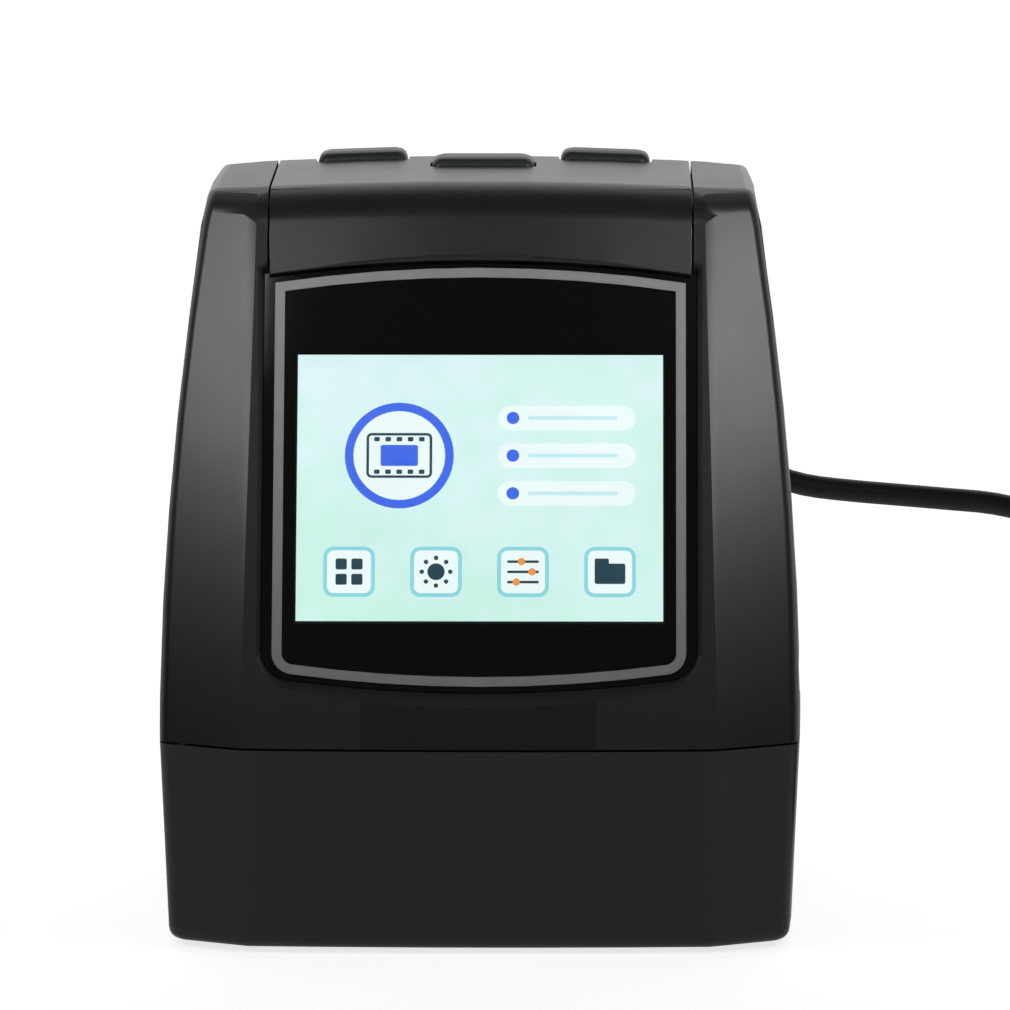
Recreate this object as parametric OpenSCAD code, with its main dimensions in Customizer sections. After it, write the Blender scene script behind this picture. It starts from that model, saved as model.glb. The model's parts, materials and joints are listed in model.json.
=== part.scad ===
// Stand-alone scanner for 35 mm film negatives, with a colour screen in its leaning front.
// X runs to the viewer's right, Y away from the viewer, Z up. The origin is on the desk,
// under the middle of the body.

/* [Body] */
// Width of the body across its bulged side walls
body_w = 87; // [85:0.5:89]
// Depth of the body, from the foot of the front face to the foot of the rear wall
body_d = 86; // [84:0.5:88]
// Height of the roof at the middle of the body
roof_z = 99.6; // [98:0.2:101]
// Height of the parting line between the base and the housing
split_z = 27.5; // [27:0.1:28]
// Lean of the front face back from the vertical, in degrees
lean = 22; // [21:0.5:23]
// Thickness of the housing walls
wall = 2; // [1.8:0.1:2.2]
// Thickness of the front shell, which holds the window and the top panel
front_wall = 3; // [2.9:0.1:3.1]
// Dark gap along every parting line
seam = 0.3; // [0.2:0.05:0.4]

/* [Window] */
// Width of the glossy window lens
lens_w = 57.8; // [56:0.2:59]
// Thickness of the window lens
lens_t = 1.5; // [1.2:0.1:1.6]
// How far the flat window lies below the crown of the bulged front
lens_depth = 1.65; // [1.4:0.05:1.9]
// Distance from the parting line up the front face to the middle of the screen
screen_up = 37; // [36.5:0.1:37.5]
// Width of the opening in front of the screen, around its lit area
screen_opening_w = 50.8; // [50:0.2:51]

/* [Buttons] */
// Distance between neighbouring buttons, centre to centre
button_pitch = 16.8; // [16:0.1:17.5]
// How far the buttons stand above the roof
button_proud = 1.2; // [0.8:0.1:1.4]
// How far a button moves when it is pressed
button_travel = 0.7; // [0.4:0.1:0.8]

/* [Film] */
// Height of the film slot's floor above the desk
slot_z = 29.6; // [29.5:0.1:29.8]
// Height of the film slot
slot_h = 6.4; // [6:0.1:6.4]

/* [Cable] */
// Diameter of the cable
cable_d = 3.3; // [3.1:0.1:3.5]
// Turns in each of the coil's two layers
coil_turns = 3; // [2:1:3]

/* [Hidden] */

$fn = 48;
half_w = body_w / 2;
front_y = -body_d / 2;
rear_y = body_d / 2;

// Outer form of the housing
side_plan_r = 700;   // bulge of the side walls, seen from above
side_r = 470;        // curve of the side walls, seen from the front
side_mid_z = 20;     // height at which that curve is upright
crown_r = 450;       // sideways bulge of the front, the bend and the roof
bend_r = 7;          // bend from the front into the roof
rear_plan_r = 500;
rear_lean = 7;
rear_bend_r = 16;
rear_rise = 0.7;     // the rear bend starts this far above the roof, so that the two meet in a crease
half_bend = (90 - lean) / 2;
roof_y = front_y + (roof_z - split_z) * tan(lean);
sweep = 8;           // half of the angle that each bulged wall is swept through

// Flat facets at the corners: [plan direction, rise of the normal, plan distance at split_z]
front_facet = [-62.2, 20.1, front_facet_reach(31.3, 0.9)];
rear_facet = [45, 7.8, (half_w + rear_y) * sin(45) - 6.2];
function front_facet_reach(x, fall) = x * cos(62.2) + (body_d / 2 - fall) * sin(62.2);
facet_bend_r = 6;    // bend from a front facet into the roof, made of narrow flats
facet_roof_z = roof_z - 1;
facet_bend_rises = [37, 55, 73];

// Base
base_z = 0.4;
base_inset = 0.1;
base_draft = 2.3;
base_floor = 2.6;
base_wall = 3.2;
base_edge_r = 1.8;
base_front_plan_r = 545;
base_top = split_z - seam;

// Front and rear shells meet along an arc in the side view, and then run back level
parting_r = 1000;
parting_at = [-21.8, 61.75];
parting_lean = 20.5;
hood_z = roof_z - 5.3;

// Top panel
panel_w = 56.7;
panel_t = 1.6;
panel_edge_v = 30.4;
panel_edge_r = 198;
panel_rear_y = 29.5;

// Window, in the face frame: x across, v up the face from the middle of the screen
screen_y = front_y + screen_up * sin(lean);
screen_z = split_z + screen_up * cos(lean);
lens_foot_v = -28.9;
lens_top_v = 30.8;    // its top edge lies just under the top panel's lower edge
foot_arc_r = 185;
pad_back = -4.6;     // back of the seat that holds the lens, in front of the screen
border_w = 1.3;
border_foot_v = -28.05;
border_top_v = 29.55;
border_half = 27.5;
pocket_flare = [1.1, 1.146];

// Screen module
module_size = [60.3, 42.7];
gasket_t = 0.5;
frame_t = 2.5;
gasket_back = pad_back - gasket_t;
frame_back = gasket_back - frame_t;
board_t = 1.6;

// Optics and film
optical_y = 3;
stage_t = 2;
stage_z = base_top;
guide_z = slot_z + slot_h + 0.2;
guide_t = 1.6;
slot_y = [-25.4, 31.4];
stage_posts = [[-35, -29], [35, -29], [-30, 35], [30, 35]];
post_r = 3.4;
light_z = 6;
light_box_h = 18;
tower_z = 64;
barrel_r = 7;
sensor_z = 74;

// Feet and screws
foot_r = 4.3;
feet_at = [[-28, -26], [28, -26], [-28, 27], [28, 27]];
screw_seat_z = 16;
housing_screw_x = 27;
housing_screw_z = 85;

// Boards
main_z = 50.4;
socket_z = main_z + board_t;
usb_x = 24;
video_x = 10;
video_r = 1.8;
card_x = -17;
video_z = socket_z + 2.5;
key_z = roof_z - 13.4;
switch_h = 3.5;
plunger_top = key_z + board_t + switch_h + button_travel + 0.6;

// Buttons: [x, y, width, depth, tilt with the roof's crown]
button_middle_at = [0, 13.7, 14, 7.5, 0];
button_left_at = [-button_pitch, 24, 12.3, 6.6, -2];
button_right_at = [button_pitch, 24, 12.3, 6.6, 2];
button_gap = 0.25;
button_flange = 0.8;

// Cable: the rear socket's height, and the free run's route from the strain relief to the coil
plug_z = socket_z + 1.95;
grip_y = 40.4;
relief_y = 58.4;
run_points = [
    [24, 69.4, 53.95], [24, 75.2, 53.9], [25.2, 80.4, 53.2], [28.6, 84.5, 51.6],
    [33.8, 87, 49.3], [39.8, 87.9, 46.9], [46, 88, 44.9], [53, 88, 44], [60, 88, 43.4],
    [67, 88, 42.8], [74, 88, 42.1], [80.4, 87.4, 40.4], [85.8, 85.6, 36.8],
    [89.8, 82.6, 31.8], [92.2, 78.4, 26], [93.3, 73.4, 20], [93.4, 67.6, 14.4],
    [92.9, 61.4, 9.7], [92, 54.6, 6.2], [90.9, 47.4, 4], [89.8, 39.8, 2.8],
    [88.8, 32, 2.25], [88.2, 24.4, 2.15], [88, 19.5, 2.15], [88, 15.5, 2.15]
];
coil_at = [114, 12];
coil_r = 26;
coil_pitch = cable_d + 0.5;
coil_steps = 24;
coil_low = cable_d / 2 + 0.5;
coil_high = coil_low + coil_pitch;
tail_points = [[140, 18, 5.9], [140, 24, 5.5], [140, 30, 4.8], [140, 36, 4.3], [140, 41.5, 4.2]];
tie_t = 0.4;

// ---------- Helpers ----------

function arc_points(centre, r, from, to, steps) =
    [for (i = [0:steps]) let (a = from + (to - from) * i / steps)
        centre + r * [cos(a), sin(a)]];

function rounded_rect(w, d, r) = concat(
    arc_points([w / 2 - r, d / 2 - r], r, 0, 90, 4),
    arc_points([-w / 2 + r, d / 2 - r], r, 90, 180, 4),
    arc_points([-w / 2 + r, -d / 2 + r], r, 180, 270, 4),
    arc_points([w / 2 - r, -d / 2 + r], r, 270, 360, 4));

// Outline with straight sides, arched foot and top, and round lower corners
function window_points(half, foot_v, foot_r, corner_r, top_v, top_r) = let (
    foot_mid = foot_v + foot_r,
    cx = half - corner_r,
    cy = foot_mid - sqrt(pow(foot_r - corner_r, 2) - pow(cx, 2)),
    turn = atan2(cy - foot_mid, cx),
    top_mid = top_v - top_r,
    top_turn = acos(half / top_r)) concat(
    arc_points([0, foot_mid], foot_r, -180 - turn, turn, 8),
    arc_points([cx, cy], corner_r, turn + 12, 0, 5),
    arc_points([0, top_mid], top_r, top_turn, 180 - top_turn, 8),
    arc_points([-cx, cy], corner_r, -180, -180 - turn - 12, 5));

function lens_points(grow) = window_points(lens_w / 2 + grow, lens_foot_v - grow,
    foot_arc_r + grow, 4 + grow, lens_top_v + grow, panel_edge_r + grow);

function border_points(inset) = window_points(border_half - inset, border_foot_v + inset,
    foot_arc_r - inset, 2.9 - inset, border_top_v - inset, 181 - inset);

// A strip of even thickness along a path, as an outline
function strip_points(path, t) = let (n = len(path)) concat(
    [for (i = [0:n - 1]) path[i] + t / 2 * path_side(path, i)],
    [for (i = [n - 1:-1:0]) path[i] - t / 2 * path_side(path, i)]);
function path_side(path, i) = let (
    before = path[max(i - 1, 0)],
    after = path[min(i + 1, len(path) - 1)],
    along = (after - before) / norm(after - before)) [-along[1], along[0]];

module on_face() translate([0, screen_y, screen_z]) rotate([90 - lean, 0, 0]) children();

// Draws a side view, with Y to the right and Z up, as thick as w across the body
module side_view(w) rotate([90, 0, 90]) linear_extrude(w, center = true) children();

// Sweeps a section, with its distance from the axis to the right, through a small angle
module bulged(centre, facing, steps = 240) translate([centre[0], centre[1], 0])
    rotate([0, 0, facing - sweep]) rotate_extrude(angle = 2 * sweep, $fn = steps) children();

// An outer form is swept in fine steps, and a cavity's form in coarse ones
function fineness(inset) = inset > 0 ? 120 : 240;

module box(size, at) translate([at[0] - size[0] / 2, at[1] - size[1] / 2, at[2]]) cube(size);

module post(r, h, at) translate(at) cylinder(r = r, h = h);

module plate(w, d, h, r) linear_extrude(h) polygon(rounded_rect(w, d, r));

// ---------- Outer form ----------

// Side wall's section: upright at the parting line, and leaning in above it
module side_section(inset, from_z) intersection() {
    translate([side_plan_r - side_r, side_mid_z]) circle(r = side_r - inset, $fn = fineness(inset));
    translate([side_plan_r - 90, from_z]) square([95, roof_z + 5 - from_z]);
}

module both_sides() intersection() {
    children();
    mirror([1, 0, 0]) children();
}

module side_walls(inset, from_z) both_sides()
    bulged([half_w - side_plan_r, 0], 0, fineness(inset)) side_section(inset, from_z);

// Front, bend and roof are one section, swept about an axis that rises to the rear
module front_roof_section(inset) {
    apex = crown_r + bend_r * (1 / cos(half_bend) - 1) - inset / cos(half_bend);
    r = bend_r - inset;
    cut = r * tan(half_bend);
    far = 100;
    polygon([
        [apex - cut * sin(half_bend), -cut * cos(half_bend)],
        [apex - far * sin(half_bend), -far * cos(half_bend)],
        [apex - 115, -far * cos(half_bend)],
        [apex - 115, far * cos(half_bend)],
        [apex - far * sin(half_bend), far * cos(half_bend)],
        [apex - cut * sin(half_bend), cut * cos(half_bend)]]);
    translate([apex - r / cos(half_bend), 0]) circle(r = r, $fn = fineness(inset) / 6);
}

module front_and_roof(inset) {
    apex = crown_r + bend_r * (1 / cos(half_bend) - 1);
    translate([0, roof_y + apex * sin(half_bend), roof_z - apex * cos(half_bend)])
        rotate([half_bend - 90, 0, 0]) bulged([0, 0], -90, fineness(inset))
            front_roof_section(inset);
}

module rear_section(inset) {
    top = roof_z + rear_rise - inset;
    r = rear_bend_r - inset;
    corner = rear_plan_r - inset / cos(rear_lean) - (top - split_z) * tan(rear_lean);
    cut = r * tan((90 - rear_lean) / 2);
    foot = split_z - 2;
    polygon([
        [corner - cut, top], [corner - 90, top], [corner - 90, foot],
        [corner + (top - foot) * tan(rear_lean), foot],
        [corner + cut * sin(rear_lean), top - cut * cos(rear_lean)]]);
    translate([corner - cut, top - r]) circle(r = r, $fn = fineness(inset) / 6);
}

module rear_wall(inset) bulged([0, rear_y - rear_plan_r], 90, fineness(inset))
    rear_section(inset);

module facet_cut(facet, inset) {
    reach = facet[2];
    for (side = [0, 1]) mirror([side, 0, 0])
        translate([reach * cos(facet[0]), reach * sin(facet[0]), split_z])
            rotate([0, -facet[1], facet[0]]) translate([-inset, -60, -90])
                cube([60, 120, 200]);
}

module facet_bend(facet, inset) {
    z = facet_roof_z - facet_bend_r;
    reach = facet[2] - (facet_bend_r + (z - split_z) * sin(facet[1])) / cos(facet[1]);
    for (side = [0, 1], rise = facet_bend_rises) mirror([side, 0, 0])
        translate([reach * cos(facet[0]), reach * sin(facet[0]), z])
            rotate([0, -rise, facet[0]]) translate([facet_bend_r - inset, -60, -20])
                cube([20, 120, 40]);
}

// The form bulges outwards all over, so its hull is the same form in one closed surface
module housing_form(inset, from_z) hull() difference() {
    intersection() {
        front_and_roof(inset);
        side_walls(inset, from_z);
        rear_wall(inset);
    }
    facet_cut(front_facet, inset);
    facet_cut(rear_facet, inset);
    facet_bend(front_facet, inset);
}

module housing_skin(inner) difference() {
    housing_form(0, split_z);
    housing_form(inner, split_z - 1);
}

// Side view of what belongs to the front shell, grown by gap
module hood_area(gap) {
    centre = parting_at + parting_r * [-cos(parting_lean), sin(parting_lean)];
    intersection() {
        translate(centre) circle(r = parting_r + gap, $fn = 360);
        translate([-80, split_z - 5]) square([90, 90]);
    }
    translate([-80, hood_z - gap]) square([160, 20]);
}

// ---------- Base ----------

module base_profile(r, inset, floor_z, edge_r) {
    top = r - base_inset - inset;
    foot = top - (base_top - floor_z) * tan(base_draft);
    rise = base_top + (inset > 0 ? 1 : 0);
    deep = 150;
    polygon(concat(
        [[top, rise], [top - deep, rise], [top - deep, floor_z]],
        arc_points([foot - edge_r, floor_z + edge_r], edge_r, -90, -base_draft, 5)));
}

module base_facets(facet, inset, floor_z, edge_r) both_sides()
    rotate([0, 0, facet[0]]) rotate([90, 0, 0])
        linear_extrude(200, center = true) base_profile(facet[2], inset, floor_z, edge_r);

module base_form(inset, floor_z, edge_r) hull() intersection() {
    both_sides() bulged([half_w - side_plan_r, 0], 0)
        base_profile(side_plan_r, inset, floor_z, edge_r);
    bulged([0, front_y + base_front_plan_r], -90)
        base_profile(base_front_plan_r, inset, floor_z, edge_r);
    bulged([0, rear_y - rear_plan_r], 90) base_profile(rear_plan_r, inset, floor_z, edge_r);
    base_facets(front_facet, inset, floor_z, edge_r);
    base_facets(rear_facet, inset, floor_z, edge_r);
}

module on_posts() for (p = stage_posts) translate([p[0], p[1], 0]) children();

module base_shell() color([0.12, 0.12, 0.12]) difference() {
    union() {
        difference() {
            base_form(0, base_z, base_edge_r);
            base_form(base_wall, base_floor, 0.4);
        }
        on_posts() post(post_r, base_top - base_z - 1, [0, 0, base_z + 1]);
        for (x = [-21, 21], y = [-15, 15])
            post(2.2, light_z - base_floor + 1, [x, optical_y + y, base_floor - 1]);
    }
    on_posts() {
        post(1.3, 40, [0, 0, -1]);
        post(2.6, screw_seat_z + 1, [0, 0, -1]);
    }
    for (at = feet_at) post(foot_r + 0.2, 1, [at[0], at[1], 0]);
}

module rubber_feet() color([0.07, 0.07, 0.07]) for (at = feet_at) {
    translate([at[0], at[1], 0]) cylinder(r1 = foot_r - 0.4, r2 = foot_r, h = 0.5);
    post(foot_r, 0.6, [at[0], at[1], 0.4]);
}

module base_screws() color([0.62, 0.62, 0.60]) on_posts()
    screw(2.3, 1.1, [0, 0, screw_seat_z], 0);

// A pan-head screw with a cross recess; its head hangs below at, and its shaft stands above
module screw(head_r, shaft_r, at, turn, shaft = 17) translate(at) rotate([turn, 0, 0])
    difference() {
        union() {
            translate([0, 0, -1.8]) cylinder(r1 = head_r - 0.5, r2 = head_r, h = 0.7);
            translate([0, 0, -1.1]) cylinder(r = head_r, h = 1.1);
            cylinder(r = shaft_r, h = shaft);
        }
        for (a = [0, 90]) rotate([0, 0, a]) translate([-1.3, -0.3, -2]) cube([2.6, 0.6, 1.1]);
    }

// ---------- Light under the film ----------

module light_board() color([0.10, 0.32, 0.18])
    box([50, 38, board_t], [0, optical_y, light_z]);

module leds() color([0.95, 0.93, 0.75]) for (x = [-14, 0, 14], y = [-9, 0, 9])
    box([3, 3, 1], [x, optical_y + y, light_z + board_t]);

module light_box() color([0.93, 0.93, 0.92]) difference() {
    box([46, 34, light_box_h], [0, optical_y, light_z + board_t]);
    box([43, 31, light_box_h + 2], [0, optical_y, light_z + board_t - 1]);
}

module diffuser() color([0.96, 0.96, 0.96])
    box([46, 34, 1.4], [0, optical_y, light_z + board_t + light_box_h]);

module light_ribbon() color([0.85, 0.84, 0.78]) translate([14, 0, 0]) side_view(10)
    polygon(strip_points([
        [20.6, 7.76], [23, 8.2], [27, 10], [31, 14], [33.6, 20], [34.4, 27], [34.4, 34],
        [34.2, 42], [34, 47], [34, main_z]], 0.3));

// ---------- Film path ----------

module film_aperture(z) box([38, 26, 10], [0, optical_y, z - 1]);

module ribbon_notch(z) box([12, 12, 6], [14, 39.3, z - 1]);

module film_stage() color([0.14, 0.14, 0.14]) difference() {
    union() {
        intersection() {
            housing_form(front_wall + 0.15, stage_z);
            box([120, 120, stage_t + 2], [0, 0, stage_z - 2]);
        }
        on_posts() post(post_r, guide_z - stage_z - 1, [0, 0, stage_z + 1]);
    }
    film_aperture(stage_z);
    ribbon_notch(stage_z);
    on_posts() {
        post(1.25, 7, [0, 0, stage_z - 1]);
        post(1.05, 4, [0, 0, guide_z - 2.5]);
    }
}

module film_guide() color([0.16, 0.16, 0.16]) difference() {
    union() {
        translate([-36, -28, guide_z]) cube([72, 59, guide_t]);
        translate([-33.5, 29, guide_z]) cube([67, 7, guide_t]);
        on_posts() post(post_r - 0.4, guide_t, [0, 0, guide_z]);
    }
    film_aperture(guide_z);
    ribbon_notch(guide_z);
    on_posts() post(1.2, 5, [0, 0, guide_z - 1]);
}

module guide_screws() color([0.62, 0.62, 0.60]) on_posts()
    screw(1.9, 0.95, [0, 0, guide_z + guide_t], 180, 3.4);

// ---------- Optics ----------

module optics_tower() color([0.13, 0.13, 0.13]) {
    foot = guide_z + guide_t;
    difference() {
        union() {
            box([48, 36, 1.6], [0, optical_y, foot]);
            hull() {
                box([44, 32, 0.1], [0, optical_y, foot + 1.5]);
                box([21, 21, 0.1], [0, optical_y, tower_z - 6]);
            }
            post(10, 6.1, [0, optical_y, tower_z - 6.1]);
        }
        hull() {
            box([40, 28, 0.1], [0, optical_y, foot - 0.1]);
            box([16, 16, 0.1], [0, optical_y, tower_z - 7.5]);
        }
        post(barrel_r + 0.1, 10, [0, optical_y, tower_z - 9]);
    }
}

module lens_barrel() color([0.06, 0.06, 0.06]) translate([0, optical_y, tower_z - 9])
    difference() {
        cylinder(r = barrel_r, h = 15.5);
        translate([0, 0, -1]) cylinder(r = 6, h = 4.2);
        translate([0, 0, -1]) cylinder(r = 4.5, h = 20);
        translate([0, 0, 10.8]) cylinder(r = 5.2, h = 10);
    }

// A lens with both faces bulged, turned from its half section
module bulged_lens(r, face_r, t) {
    turn = asin(r / face_r);
    rotate_extrude() polygon(concat(
        arc_points([0, face_r], face_r, -90, turn - 90, 5),
        arc_points([0, t - face_r], face_r, 90 - turn, 90, 5)));
}

module lens_elements() color([0.75, 0.80, 0.88, 0.6]) {
    translate([0, optical_y, tower_z - 8.6]) bulged_lens(5.9, 14, 3);
    translate([0, optical_y, tower_z + 1.4]) bulged_lens(5.1, 12, 2.6);
}

module lens_mount() color([0.09, 0.09, 0.09]) difference() {
    box([20, 20, sensor_z - tower_z], [0, optical_y, tower_z]);
    post(barrel_r + 0.1, 20, [0, optical_y, tower_z - 1]);
    box([14.4, 14.4, 5], [0, optical_y, sensor_z - 3]);
}

module image_sensor() color([0.25, 0.25, 0.28])
    box([11, 10, 1.2], [0, optical_y, sensor_z - 1.2]);

module sensor_board() color([0.10, 0.32, 0.18]) box([28, 28, 1.2], [0, optical_y, sensor_z]);

module sensor_ribbon() color([0.80, 0.50, 0.15]) translate([4, 0, 0]) side_view(10)
    polygon(strip_points([
        [12, 75.35], [16, 75.5], [19.5, 75], [22.5, 72.6], [24, 69], [24.6, 64], [24.6, 58],
        [24.6, 52]], 0.3));

// ---------- Main board and its sockets ----------

module main_board() color([0.10, 0.32, 0.18]) difference() {
    translate([-34, 12, main_z]) cube([68, 23, board_t]);
    translate([-17, 0, main_z - 1]) cube([34, 17.5, 5]);
}

module main_chips() color([0.08, 0.08, 0.09]) {
    box([13, 11, 1.2], [-11, 25.5, main_z - 1.2]);
    box([11, 8, 1], [5, 25.5, main_z - 1]);
    box([5, 3.2, 1.4], [26, 20, main_z + board_t]);
}

module usb_socket() color([0.72, 0.72, 0.72]) difference() {
    box([7.7, 9.2, 3.9], [usb_x, 34, socket_z]);
    box([7.1, 9.2, 3.3], [usb_x, 34.8, plug_z - 1.65]);
}

module card_socket() color([0.70, 0.70, 0.70]) difference() {
    box([27, 19.6, 3], [card_x, 26.8, socket_z]);
    box([24.6, 19.6, 2.4], [card_x, 27.8, socket_z + 0.3]);
}

module video_jack() color([0.08, 0.08, 0.08]) difference() {
    union() {
        box([6.6, 10.6, 5], [video_x, 30.7, socket_z]);
        along_y(2.4, 35, 38.5, [video_x, video_z]);
    }
    along_y(video_r, 27, 50, [video_x, video_z]);
}

// ---------- Rear shell ----------

module along_y(r, from_y, to_y, at) translate([at[0], from_y, at[1]]) rotate([-90, 0, 0])
    cylinder(r = r, h = to_y - from_y);

module for_screws() for (x = [-housing_screw_x, housing_screw_x]) translate([x, 0, 0])
    children();

module rear_shell() color([0.12, 0.12, 0.12]) difference() {
    union() {
        difference() {
            housing_skin(wall);
            side_view(200) hood_area(seam);
        }
        for (x = [-28, 28]) box([8, 7, 2], [x, 34.6, main_z - 2]);
        for_screws() along_y(3.4, 26.4, 34.4, [0, housing_screw_z]);
    }
    translate([-60, slot_y[0], slot_z]) cube([120, slot_y[1] - slot_y[0], slot_h]);
    box([8.3, 20, 4.5], [usb_x, 46, plug_z - 2.25]);
    box([25.6, 20, 3], [card_x, 46, socket_z]);
    along_y(2.6, 36, 50, [video_x, video_z]);
    for_screws() {
        along_y(1.3, 20, 50, [0, housing_screw_z]);
        along_y(2.6, 31, 50, [0, housing_screw_z]);
    }
}

module housing_screws() color([0.62, 0.62, 0.60]) for_screws()
    screw(2.3, 1, [0, 31, housing_screw_z], 90, 8.6);

// ---------- Front shell and top panel ----------

// The space of the top panel, grown by gap on its sides
module panel_area(gap) difference() {
    translate([-panel_w / 2 - gap, -60, 70]) cube([panel_w + 2 * gap, panel_rear_y + gap + 60, 60]);
    on_face() translate([0, panel_edge_v - panel_edge_r, -12])
        cylinder(r = panel_edge_r - gap, h = 24, $fn = 240);
}

function crown_fall(x) = x * x * cos(half_bend) / (2 * crown_r);

module button_holes() for (b = [button_left_at, button_middle_at, button_right_at])
    translate([b[0], b[1], key_z + 3]) linear_extrude(20)
        polygon(rounded_rect(b[2] + 2 * button_gap, b[3] + 2 * button_gap, 1.6));

module lens_pocket() on_face() {
    floor_w = -lens_depth - lens_t - 0.05;
    translate([0, 0, floor_w]) linear_extrude(-lens_depth - floor_w) polygon(lens_points(0.1));
    intersection() {
        hull() {
            translate([0, 0, -lens_depth]) linear_extrude(0.01) polygon(lens_points(0.1));
            translate([0, 0, 1.3]) linear_extrude(0.01)
                polygon([for (p = lens_points(0.1)) [p[0] * pocket_flare[0], p[1] * pocket_flare[1]]]);
        }
        translate([-50, -50, -4]) cube([100, 50 + lens_top_v + 0.1, 8]);
    }
    translate([-screen_opening_w / 2, -19.25, -6]) cube([screen_opening_w, 38.5, 5]);
}

module front_shell() color([0.20, 0.20, 0.21]) difference() {
    union() {
        intersection() {
            housing_skin(front_wall);
            side_view(200) hood_area(0);
        }
        on_face() translate([-31, -31, pad_back]) cube([62, 64, -2 - pad_back]);
        for_screws() translate([-3, 20, housing_screw_z - 4])
            cube([6, 6, roof_z - housing_screw_z + 0.8]);
        for (at = [[-14, 9], [14, 9], [0, 24]])
            post(2, roof_z - key_z - board_t - 2.6, [at[0], at[1], key_z + board_t]);
    }
    difference() {
        panel_area(0.25);
        housing_form(panel_t + 0.1, split_z);
    }
    lens_pocket();
    button_holes();
    for_screws() along_y(1.05, 15, 30, [0, housing_screw_z]);
}

module top_panel() color([0.25, 0.25, 0.26]) difference() {
    intersection() {
        housing_skin(panel_t);
        panel_area(0);
    }
    on_face() translate([0, panel_edge_v - panel_edge_r, -0.7])
        cylinder(r1 = panel_edge_r - 0.05, r2 = panel_edge_r + 1.4, h = 1.45, $fn = 240);
    on_face() translate([-40, 0, -10]) cube([80, lens_top_v + 0.3, 10 - lens_depth + 0.05]);
    button_holes();
}

// ---------- Window and screen ----------

module window_lens() color([0.02, 0.02, 0.02]) on_face()
    translate([0, 0, -lens_depth - lens_t]) linear_extrude(lens_t) polygon(lens_points(0));

module window_border() color([0.45, 0.45, 0.46]) on_face() translate([0, 0, -lens_depth])
    linear_extrude(0.1) difference() {
        polygon(border_points(0));
        polygon(border_points(border_w));
    }

// A flat piece of the screen, between two depths behind the face
module screen_plate(size, back, front) on_face()
    translate([-size[0] / 2, -size[1] / 2, back]) cube([size[0], size[1], front - back]);

module screen_gasket() color([0.05, 0.05, 0.05]) difference() {
    screen_plate(module_size, gasket_back, pad_back);
    screen_plate([51.6, 39.2], gasket_back - 1, pad_back + 1);
}

module screen_frame() color([0.70, 0.71, 0.72]) difference() {
    screen_plate(module_size, frame_back, gasket_back);
    screen_plate(module_size - [0.8, 0.8], frame_back - 1, gasket_back - 0.3);
    screen_plate([50.4, 38.2], frame_back, gasket_back + 1);
}

module screen_panel() color([0.80, 0.93, 0.91])
    screen_plate(module_size - [1.2, 1.2], frame_back, gasket_back - 0.3);

module screen_board() color([0.10, 0.32, 0.18])
    screen_plate([58, 40], frame_back - 1.2, frame_back);

module screen_ribbon() color([0.80, 0.50, 0.15]) translate([-23, 0, 0]) side_view(12)
    polygon(strip_points([
        [-23.5, 51.9], [-20.5, 50.4], [-15, 49.8], [-5, 50.6], [4, 52.8], [9, 53.6],
        [12.6, 52.9], [16, 52.2]], 0.3));

// ---------- Buttons ----------

module key_board() color([0.10, 0.32, 0.18])
    translate([-21.5, 6.3, key_z]) cube([43, 24.7, board_t]);

module tact_switches() color([0.10, 0.10, 0.10])
    for (b = [button_left_at, button_middle_at, button_right_at]) difference() {
        box([6, 6, switch_h], [b[0], b[1], key_z + board_t]);
        post(1.85, switch_h, [b[0], b[1], key_z + board_t + 0.4]);
    }

module plunger(b) color([0.85, 0.35, 0.20])
    post(1.75, plunger_top - key_z - board_t - 1.2, [b[0], b[1], key_z + board_t + 1.2]);

module plunger_left() plunger(button_left_at);
module plunger_middle() plunger(button_middle_at);
module plunger_right() plunger(button_right_at);

module button(b) color([0.23, 0.25, 0.26]) {
    top = roof_z + button_proud - crown_fall(b[0]);
    flange_z = plunger_top + 0.2;
    translate([b[0], b[1], 0]) {
        hull() {
            translate([0, 0, top]) rotate([0, b[4], 0])
                for (step = [[2.8, 0], [1.2, 0.25], [0.4, 0.7], [0, 1.3]])
                    translate([0, 0, -step[1] - 0.02])
                        plate(b[2] - step[0], b[3] - step[0], 0.02, 1.45 - step[0] / 4);
            translate([0, 0, flange_z + 0.7]) plate(b[2], b[3], 0.02, 1.45);
        }
        translate([0, 0, flange_z]) plate(b[2] + 2 * button_flange, b[3] + 1.6, 1, 1.5);
        translate([0, 0, plunger_top]) plate(5, 4, 0.6, 1);
    }
}

module button_left() button(button_left_at);
module button_middle() button(button_middle_at);
module button_right() button(button_right_at);

// ---------- Cable ----------

function tube_ring(at, along, r, sides) = let (
    side = cross(along, [0, 0, 1]) / norm(cross(along, [0, 0, 1])),
    up = cross(side, along)) [for (k = [0:sides - 1])
        at + r * (cos(360 * (k + 0.5) / sides) * side + sin(360 * (k + 0.5) / sides) * up)];

function heading(path, i) = let (
    step = path[min(i + 1, len(path) - 1)] - path[max(i - 1, 0)]) step / norm(step);

// A tube of flat sides, with a ring at each point of its path
module tube(path, r, sides) {
    n = len(path);
    points = [for (i = [0:n - 1]) each tube_ring(path[i], heading(path, i), r, sides)];
    walls = [for (i = [0:n - 2], k = [0:sides - 1]) let (
        a = i * sides + k,
        b = i * sides + (k + 1) % sides) each [[a, b, a + sides], [b, b + sides, a + sides]]];
    start = [for (k = [1:sides - 2]) [0, k + 1, k]];
    last = (n - 1) * sides;
    finish = [for (k = [1:sides - 2]) [last, last + k, last + k + 1]];
    polyhedron(points, concat(walls, start, finish));
}

function path_length(path) = let (
    steps = [for (i = [1:len(path) - 1]) norm(path[i] - path[i - 1])]) steps * [for (s = steps) 1];

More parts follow.
